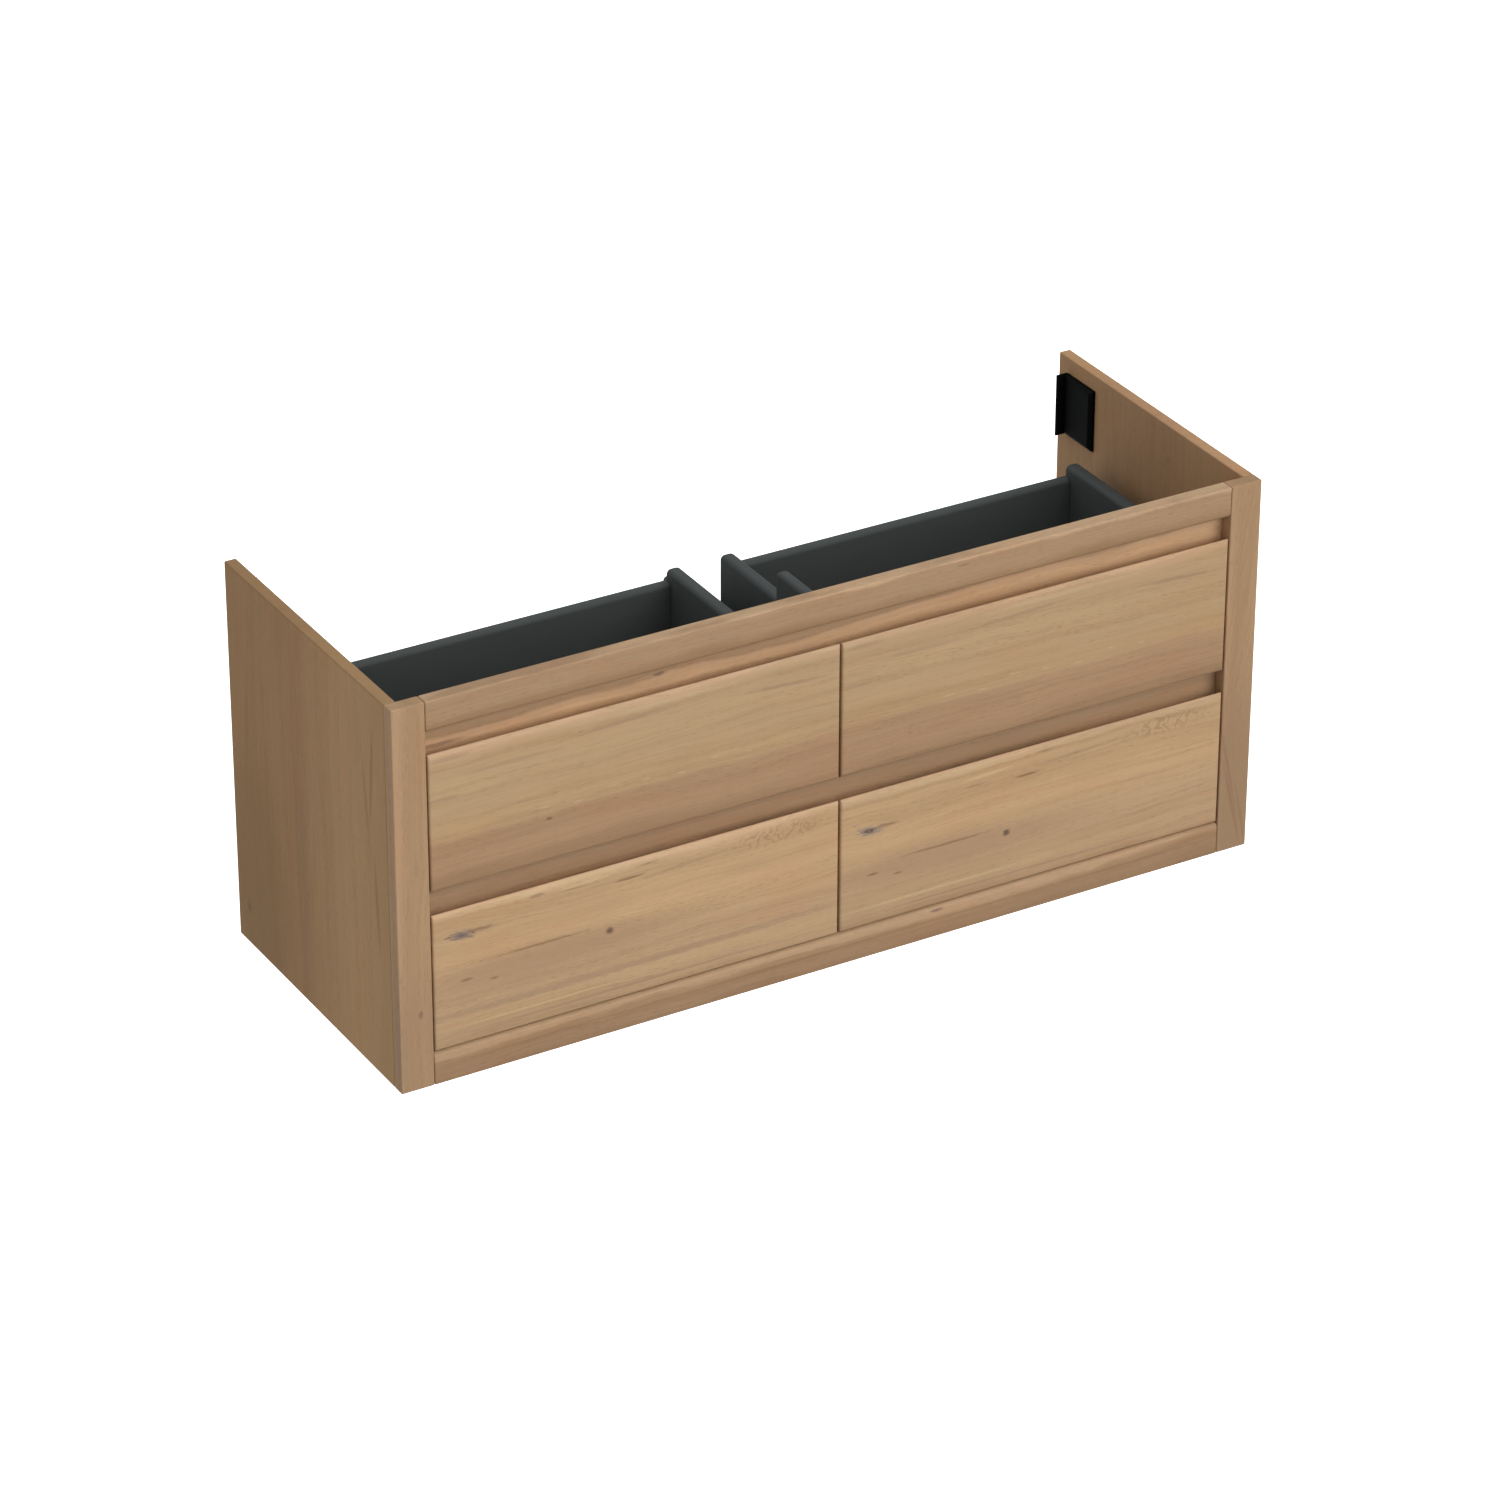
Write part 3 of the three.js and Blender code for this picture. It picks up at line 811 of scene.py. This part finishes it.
def drawer_box(row, side):
    name = f"{row}_{side}_drawer"
    for hand in SIDES:
        drawer_side(f"{name}_{hand}_side", name)
    drawer_back(f"{name}_back", name)
    eased_board(f"{name}_bottom", GREY, name, FOIL_EASE)


HEAD_DEPTH = 125 * MM        # high front part of the partition
HEAD_RISE = 130 * MM         # that part above the rear part
NOTCH_RADIUS = 12 * MM
NOTCH_GAP = 0.3 * MM         # round the crossbars


def partition():
    """The partition keeps the CAD outline, with wide rounding along its upper edges."""
    low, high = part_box("centre_partition")
    upper, upper_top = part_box("upper_crossbar")
    middle, middle_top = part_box("middle_crossbar")
    notched = upper_top.y + NOTCH_GAP
    head_back = low.y + HEAD_DEPTH
    rear_top = high.z - HEAD_RISE
    notch = (head_back + NOTCH_RADIUS, rear_top + NOTCH_RADIUS)
    corner = (head_back - PARTITION_CORNER, high.z - PARTITION_CORNER)

    def outline_at(inset):
        return [
            (low.y, low.z),
            (high.y, low.z),
            (high.y, rear_top - inset),
            *arc(notch, NOTCH_RADIUS + inset, 270, 180, 8),
            *arc(corner, PARTITION_CORNER - inset, 0, 90, 6),
            (notched, high.z - inset),
            (notched, upper.z - NOTCH_GAP),
            (low.y, upper.z - NOTCH_GAP),
            (low.y, middle_top.z + NOTCH_GAP),
            (notched, middle_top.z + NOTCH_GAP),
            (notched, middle.z - NOTCH_GAP),
            (low.y, middle.z - NOTCH_GAP),
        ]

    wrapped_slab("centre_partition_board", outline_at, low.x, high.x, PARTITION_ROUND,
                 "carcass", ["centre_partition"])


# ---------------------------------------------- screws

# Width and height of the heads.
RUNNER_SCREW = (6 * MM, 1.2 * MM)
BRACKET_SCREW = (6.5 * MM, 1.8 * MM)
PACKER_SCREW = (8 * MM, 1.4 * MM)

# Outline of a pan head: shares of its half width and of its height.
HEAD_PROFILE = ((1, 0), (1, 0.35), (0.92, 0.68), (0.76, 0.9))
HEAD_SEGMENTS = 24
CROSS_ARM = 0.30             # reach of the cross recess, as a share of the head's width
CROSS_FLOOR = (0.8, 0.35)    # shares of the recess's reach and of the head's height at its floor
CROSS_STEP = 15              # the corners of the cross fall on every 15 degrees


def add_screw(bm, centre, outward, head):
    """A pan head with a cross recess."""
    across, height = head
    arm = across * CROSS_ARM
    slim = arm * math.tan(math.radians(CROSS_STEP))
    outward = Vector(outward).normalized()
    side = outward.orthogonal().normalized()
    other = outward.cross(side)

    def cross_reach(angle):
        folded = abs((angle + 45) % 90 - 45)
        if folded <= CROSS_STEP + 0.01:
            return arm / math.cos(math.radians(folded))
        return slim / math.sin(math.radians(folded))

    def ring(reach, rise):
        made = []
        for i in range(HEAD_SEGMENTS):
            angle = 360 * i / HEAD_SEGMENTS
            r = reach(angle)
            turned = math.radians(angle)
            made.append(bm.verts.new(
                Vector(centre) + side * r * math.cos(turned) + other * r * math.sin(turned)
                + outward * rise))
        return made

    rings = [ring(lambda a: share * across / 2, rise * height) for share, rise in HEAD_PROFILE]
    floor_share, floor_rise = CROSS_FLOOR
    rings.append(ring(cross_reach, height))
    rings.append(ring(lambda a: floor_share * cross_reach(a), floor_rise * height))
    bmesh.ops.poke(bm, faces=[skin(bm, rings)])


def screws(name, places, body, head):
    """places are (centre, outward direction)."""
    bm = bmesh.new()
    for centre, outward in places:
        add_screw(bm, centre, outward, head)
    finish_piece(name, bm, ZINC, body)


# ---------------------------------------------- hangers

def cut(piece, outline, start, end, axis):
    """Cuts a prism out of a finished piece's mesh."""
    bm = bmesh.new()
    add_prism(bm, outline, start, end, axis)
    bmesh.ops.recalc_face_normals(bm, faces=bm.faces)
    mesh = bpy.data.meshes.new("cutter")
    bm.to_mesh(mesh)
    bm.free()
    cutter = bpy.data.objects.new("cutter", mesh)
    bpy.context.scene.collection.objects.link(cutter)
    modifier = piece.modifiers.new("cut", "BOOLEAN")
    modifier.operation = "DIFFERENCE"
    modifier.solver = "EXACT"
    modifier.object = cutter
    even = piece.modifiers["even_normals"]
    even.show_viewport = False
    graph = bpy.context.evaluated_depsgraph_get()
    made = bpy.data.meshes.new_from_object(piece.evaluated_get(graph))
    piece.modifiers.remove(modifier)
    piece.data = made
    even.show_viewport = True
    bpy.data.objects.remove(cutter)


HANGER_SHEET = 2 * MM
HANGER_BEND = 2.2 * MM
HANGER_EASE = 0.4 * MM
SLOT_WIDTH = 7 * MM
SLOT_LENGTH = 34 * MM
COVER_GAP = 0.2 * MM         # between the angle and its cover
COVER_INSET = 0.5 * MM       # cover inside the edges of the fixing plate
COVER_REAR = 0.8 * MM        # from the rear flange to the cover
COVER_LIP = 1.2 * MM         # upright rim of the cover
COVER_BORDER = 5 * MM        # width of its bevel
COVER_RISE = 5 * MM
COVER_EASE = 0.5 * MM
FLAP_SHEET = 1.2 * MM
FLAP_INSET = 0.3 * MM        # flap inside the free edge of the rear flange


def hanger_cover(node, sign, wall, lip):
    """A bevelled cover over the fixing plate, with a flap that closes the slot to the front."""
    low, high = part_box(node)
    base = wall - sign * (HANGER_SHEET + COVER_GAP)
    rear = high.y - HANGER_SHEET
    y0, y1 = low.y + COVER_INSET, rear - COVER_REAR
    z0, z1 = low.z + COVER_INSET, high.z - COVER_INSET
    levels = [(0, 0), (COVER_LIP, 0), (COVER_RISE, COVER_BORDER)]
    bm = bmesh.new()
    loops = []
    for rise, inset in levels:
        loops.append([bm.verts.new((base - sign * rise, y, z)) for y, z in (
            (y0 + inset, z0 + inset), (y1 - inset, z0 + inset),
            (y1 - inset, z1 - inset), (y0 + inset, z1 - inset))])
    skin(bm, loops)
    flap = sorted((lip + sign * FLAP_INSET, base - sign * (COVER_LIP + COVER_GAP)))
    flap_rear = rear - COVER_GAP
    add_box(bm, (flap[0], flap_rear - FLAP_SHEET, z0), (flap[1], flap_rear, z1))
    bmesh.ops.recalc_face_normals(bm, faces=bm.faces)
    soften(bm, list(bm.edges), COVER_EASE, 2)
    finish_piece(f"{node}_cover", bm, BLACK, "carcass")


def hanger(side):
    """A bent angle on the side panel, with a slot in its rear flange, and its cover."""
    node = f"{side}_hanger"
    sign = SIDES[side]
    low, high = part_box(node)
    wall = high.x if sign > 0 else low.x
    lip = low.x if sign > 0 else high.x
    half = HANGER_SHEET / 2
    middle = [(wall - sign * half, low.y), (wall - sign * half, high.y - half), (lip, high.y - half)]
    bm = bmesh.new()
    add_prism(bm, sheet_outline(middle, HANGER_SHEET, HANGER_BEND), low.z, high.z, Z)
    soften(bm, sharp_edges(bm, 60), HANGER_EASE, 2)
    angle = finish_piece(f"{node}_angle", bm, BLACK, "carcass", [node])
    slot_x = (lip + wall - sign * HANGER_SHEET) / 2
    slot_z = (low.z + high.z) / 2
    reach = (SLOT_LENGTH - SLOT_WIDTH) / 2
    slot = arc((slot_x, slot_z + reach), SLOT_WIDTH / 2, 0, 180, 8)
    slot += arc((slot_x, slot_z - reach), SLOT_WIDTH / 2, 180, 360, 8)
    cut(angle, slot, high.y - 2 * HANGER_SHEET, high.y + HANGER_SHEET, Y)
    hanger_cover(node, sign, wall, lip)


# ---------------------------------------------- runners

STEEL = 1.5 * MM
BEND = 1.2 * MM
SLIDE_GAP = 1.2 * MM         # from the middle member to the channel round it
TRACK_RISE = 7 * MM          # height of that channel
RUNNER_SCREW_DROP = 9 * MM   # below the upper edge of the flange
RUNNER_SCREW_FRONTS = (22 * MM, 118 * MM)
RUNNER_SCREW_REAR = 28 * MM


def runner(row, side, hand):
    """Fixed, middle and top member of one runner, bent from sheet, with its screws."""
    name = f"{row}_{side}_drawer_{hand}_runner"
    drawer = f"{row}_{side}_drawer"
    half = STEEL / 2
    low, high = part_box(f"{name}_fixed")
    track_low, track_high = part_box(f"{name}_middle")
    cap_low, cap_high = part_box(f"{name}_top")
    towards = 1 if (track_low.x + track_high.x) > (low.x + high.x) else -1
    flange = low.x if towards > 0 else high.x
    far = high.x if towards > 0 else low.x
    near = (track_low.x if towards > 0 else track_high.x) - towards * (SLIDE_GAP + STEEL)
    rise = low.z + TRACK_RISE

    middle = [
        (flange + towards * half, high.z),
        (flange + towards * half, low.z + half),
        (far - towards * half, low.z + half),
        (far - towards * half, rise),
    ]
    bm = bmesh.new()
    add_prism(bm, sheet_outline(middle, STEEL, BEND), low.y, high.y, Y)
    leg = sorted((near, near + towards * STEEL))
    add_box(bm, (leg[0], low.y, low.z + STEEL), (leg[1], high.y, rise))
    finish_piece(f"{name}_fixed_member", bm, ZINC, "carcass", [f"{name}_fixed"])

    a, b = track_low.x + half, track_high.x - half
    bm = bmesh.new()
    u_line = [(a, track_high.z), (a, track_low.z + half), (b, track_low.z + half), (b, track_high.z)]
    add_prism(bm, sheet_outline(u_line, STEEL, BEND), track_low.y, track_high.y, Y)
    finish_piece(f"{name}_middle_member", bm, ZINC, f"{name}_middle", [f"{name}_middle"])

    a, b = cap_low.x + half, cap_high.x - half
    bm = bmesh.new()
    n_line = [(a, cap_low.z), (a, cap_high.z - half), (b, cap_high.z - half), (b, cap_low.z)]
    add_prism(bm, sheet_outline(n_line, STEEL, BEND), cap_low.y, cap_high.y, Y)
    finish_piece(f"{name}_top_member", bm, ZINC, drawer, [f"{name}_top"])

    places = [low.y + front for front in RUNNER_SCREW_FRONTS] + [high.y - RUNNER_SCREW_REAR]
    face = flange + towards * STEEL
    heads = [((face, y, high.z - RUNNER_SCREW_DROP), (towards, 0, 0)) for y in places]
    screws(f"{name}_screws", heads, "carcass", RUNNER_SCREW)


# ---------------------------------------------- small fittings

BRACKET_REACH = 24 * MM
BRACKET_RISE = 46 * MM       # lower edge of a front bracket above the lower edge of the box side
BRACKET_HEIGHT = 44 * MM
BRACKET_SHEET = 1.5 * MM
BRACKET_EASE = 0.3 * MM
BRACKET_HOLES = (0.25, 0.75) # places of the screws, as shares of the bracket's height
BRACKET_HOLE_REACH = 0.6     # and of its reach
TOUCH = 0.1 * MM             # gap under a fitting
CATCH_WIDTH = 30 * MM
CATCH_HEIGHT = 9 * MM
CATCH_EASE = 0.35 * MM
CATCH_SIDE = 0.8 * MM        # from the box side to the catch
CATCH_FRONT = 1.5 * MM       # from the drawer front to the catch
CATCH_REAR = 0.6 * MM        # from the catch to the top member
LEVER_WIDTH = 12 * MM
LEVER_GAP = 0.4 * MM         # between the catch and its lever
LEVER_REACH = 14 * MM        # lever behind the catch
LEVER_DEPTH = 0.75 * CATCH_HEIGHT
RIB_DEPTH = 0.9 * CATCH_HEIGHT
RIBS = 5
RIB_START = 2.5 * MM
RIB_PITCH = 3 * MM
RIB_WIDTH = 1.2 * MM
RIB_INSET = 1 * MM


def front_brackets(row, side):
    """Angles inside the box that hold the drawer front, two screws on each leg."""
    name = f"{row}_{side}_drawer"
    front_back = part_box(f"{name}_front")[1].y
    heads = []
    bm = bmesh.new()
    for hand, sign in SIDES.items():
        inward = -sign
        low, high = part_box(f"{name}_{hand}_side")
        wall = (high.x if inward > 0 else low.x) + inward * TOUCH
        z0 = low.z + BRACKET_RISE
        half = BRACKET_SHEET / 2
        y = front_back + TOUCH + half
        x = wall + inward * half
        line = [(x, y + BRACKET_REACH), (x, y), (x + inward * BRACKET_REACH, y)]
        add_prism(bm, sheet_outline(line, BRACKET_SHEET, BEND), z0, z0 + BRACKET_HEIGHT, Z)
        reach = BRACKET_HOLE_REACH * BRACKET_REACH
        for share in BRACKET_HOLES:
            z = z0 + share * BRACKET_HEIGHT
            heads.append(((x + inward * half, y + reach, z), (inward, 0, 0)))
            heads.append(((x + inward * reach, y + half, z), (0, 1, 0)))
    soften(bm, sharp_edges(bm, 60), BRACKET_EASE, 2)
    finish_piece(f"{name}_front_brackets", bm, ZINC, name)
    screws(f"{name}_bracket_screws", heads, name, BRACKET_SCREW)


def catches(row, side):
    """Moulded catches under the front end of the box, with a ribbed release lever each."""
    name = f"{row}_{side}_drawer"
    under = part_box(f"{name}_bottom")[0].z - 2 * TOUCH
    bm = bmesh.new()
    for hand, sign in SIDES.items():
        inward = -sign
        low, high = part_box(f"{name}_{hand}_side")
        inner = (high.x if inward > 0 else low.x) + inward * CATCH_SIDE
        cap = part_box(f"{name}_{hand}_runner_top")[0]
        y0, y1 = low.y + CATCH_FRONT, cap.y - CATCH_REAR
        x0, x1 = sorted((inner, inner + inward * CATCH_WIDTH))
        add_box(bm, (x0, y0, under - CATCH_HEIGHT), (x1, y1, under))
        start = inner + inward * (CATCH_WIDTH + LEVER_GAP)
        lx0, lx1 = sorted((start, start + inward * LEVER_WIDTH))
        add_box(bm, (lx0, y0, under - LEVER_DEPTH), (lx1, y1 + LEVER_REACH, under))
        for i in range(RIBS):
            rib = y0 + RIB_START + i * RIB_PITCH
            add_box(bm, (lx0 + RIB_INSET, rib, under - RIB_DEPTH),
                    (lx1 - RIB_INSET, rib + RIB_WIDTH, under - LEVER_DEPTH))
    soften(bm, sharp_edges(bm, 60), CATCH_EASE, 2)
    finish_piece(f"{name}_catches", bm, PLASTIC, name)


# Places of the packers' screws, from their ends.
PACKER_SCREW_FRONT = 50 * MM
PACKER_SCREW_REAR = 36 * MM
PACKER_SCREW_FOOT = 85 * MM
PACKER_SCREW_HEAD = 16 * MM


def packer_screws():
    for side, sign in SIDES.items():
        for kind, inward in (("outer", -sign), ("inner", sign)):
            low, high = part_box(f"{side}_{kind}_packer")
            face = high.x if inward > 0 else low.x
            heads = [((face, y, z), (inward, 0, 0))
                     for y in (low.y + PACKER_SCREW_FRONT, high.y - PACKER_SCREW_REAR)
                     for z in (low.z + PACKER_SCREW_FOOT, high.z - PACKER_SCREW_HEAD)]
            screws(f"{side}_{kind}_packer_screws", heads, "carcass", PACKER_SCREW)


BLOCK_REACH = 42 * MM        # from the crossbar's front
BLOCK_FOOT = 6 * MM          # above its lower edge
BLOCK_HEAD = 8 * MM          # below its upper edge


def corner_blocks():
    """Glue blocks that tie the ends of the upper crossbar to the side panels."""
    bar_low, bar_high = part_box("upper_crossbar")
    for side, sign in SIDES.items():
        packer_low, packer_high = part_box(f"{side}_outer_packer")
        low = (packer_low.x, bar_low.y, bar_low.z + BLOCK_FOOT)
        high = (packer_high.x, bar_low.y + BLOCK_REACH, bar_high.z - BLOCK_HEAD)
        bm = bmesh.new()
        soften(bm, add_box(bm, low, high), EASE)
        material = oak(f"oak_{side}_block", f"{side}_outer_packer", Z, Y,
                       [(0, RAIL_TAN), (300, PINK_TAN)], seed=14.0 + sign)
        finish_piece(f"{side}_corner_block", bm, material, "carcass")


# ---------------------------------------------- assembly

oak_boards()
for row, side in DRAWERS:
    drawer_front(row, side)
    drawer_box(row, side)
    front_brackets(row, side)
    catches(row, side)
    for hand in SIDES:
        runner(row, side, hand)
for side in SIDES:
    eased_board(f"{side}_outer_packer", GREY, "carcass", FOIL_EASE)
    eased_board(f"{side}_inner_packer", GREY, "carcass", FOIL_EASE)
    hanger(side)
partition()
packer_screws()
corner_blocks()
